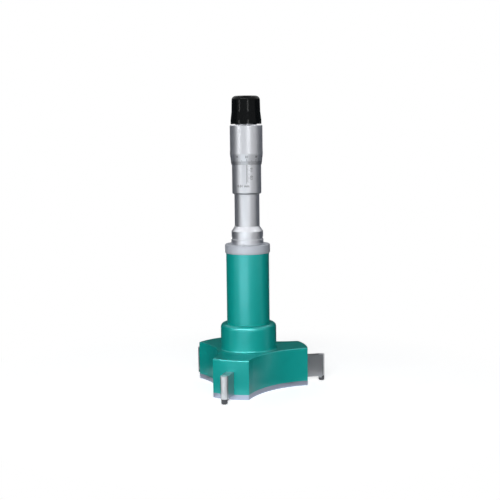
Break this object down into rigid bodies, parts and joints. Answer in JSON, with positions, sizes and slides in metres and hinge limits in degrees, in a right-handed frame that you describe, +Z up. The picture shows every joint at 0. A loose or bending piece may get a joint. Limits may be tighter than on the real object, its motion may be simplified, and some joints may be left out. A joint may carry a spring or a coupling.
{
  "type": "three-point inside micrometer",
  "caption": "Upright inside micrometer with a three-armed head: turning the graduated thimble drives a cone that spreads the sliding anvils to touch a bore.",
  "frame": {"origin": "on the spindle axis, at the underside of the base plate", "axes": "+Z up the spindle towards the ratchet cap, -Y along the front arm"},
  "size_m": [0.09, 0.0803, 0.1889],
  "materials": {
    "teal_paint": "smooth teal-green enamel with a soft gloss",
    "satin_chrome": "satin chrome, finely turned",
    "ground_plate": "ground bare steel",
    "ground_steel": "ground hardened steel",
    "hard_metal": "lapped hard metal",
    "machined_steel": "machined steel",
    "spring_steel": "drawn spring wire",
    "bronze": "plain bearing bronze",
    "black_cap": "black moulded cap, satin"
  },
  "bodies": {
    "frame": {"head_body": "teal_paint", "base_plate": "ground_plate", "plate_screws": "machined_steel", "column_tube": "teal_paint", "lower_guide_bush": "bronze", "upper_guide_bush": "bronze", "flange_ring": "satin_chrome", "stem_body": "satin_chrome", "adjusting_nut": "machined_steel", "graduated_sleeve": "satin_chrome", "anvil_spring_front": "spring_steel", "anvil_spring_right": "spring_steel", "anvil_spring_left": "spring_steel"},
    "cone_slide": {"push_rod": "machined_steel", "measuring_cone": "machined_steel", "cone_nut": "machined_steel", "thrust_ball": "machined_steel"},
    "thimble_spindle": {"spindle": "machined_steel", "thimble": "satin_chrome", "ratchet_wheel": "machined_steel", "ratchet_screw": "machined_steel"},
    "ratchet_stop": {"ratchet_cap": "black_cap", "ratchet_housing": "machined_steel", "ratchet_driver": "machined_steel", "ratchet_spring": "spring_steel"},
    "front_anvil": {"anvil_front": "ground_steel", "tip_front": "hard_metal"},
    "right_anvil": {"anvil_right": "ground_steel", "tip_right": "hard_metal"},
    "left_anvil": {"anvil_left": "ground_steel", "tip_left": "hard_metal"}
  },
  "joints": [
    {"name": "cone_advance", "type": "slide", "parent": "frame", "child": "cone_slide", "axis": [0, 0, 1], "range_m": [-0.0109, 0.0016]},
    {"name": "thimble_turn", "type": "hinge", "parent": "cone_slide", "child": "thimble_spindle", "pos_m": [0, 0, 0.158], "axis": [0, 0, 1], "range_deg": [-7848, 1152]},
    {"name": "ratchet_slip", "type": "hinge", "parent": "thimble_spindle", "child": "ratchet_stop", "pos_m": [0, 0, 0.18], "axis": [0, 0, 1], "continuous": true},
    {"name": "front_anvil_slide", "type": "slide", "parent": "frame", "child": "front_anvil", "axis": [0, -1, 0], "range_m": [-0.0016, 0.0109], "deforming": ["anvil_spring_front"]},
    {"name": "right_anvil_slide", "type": "slide", "parent": "frame", "child": "right_anvil", "axis": [0.866, 0.5, 0], "range_m": [-0.0016, 0.0109], "deforming": ["anvil_spring_right"]},
    {"name": "left_anvil_slide", "type": "slide", "parent": "frame", "child": "left_anvil", "axis": [-0.866, 0.5, 0], "range_m": [-0.0016, 0.0109], "deforming": ["anvil_spring_left"]}
  ],
  "couplings": [
    {"joint": "thimble_turn", "follows": "cone_advance", "rad_per_m": 12566},
    {"joint": "front_anvil_slide", "follows": "cone_advance", "ratio": -1},
    {"joint": "right_anvil_slide", "follows": "cone_advance", "ratio": -1},
    {"joint": "left_anvil_slide", "follows": "cone_advance", "ratio": -1}
  ]
}
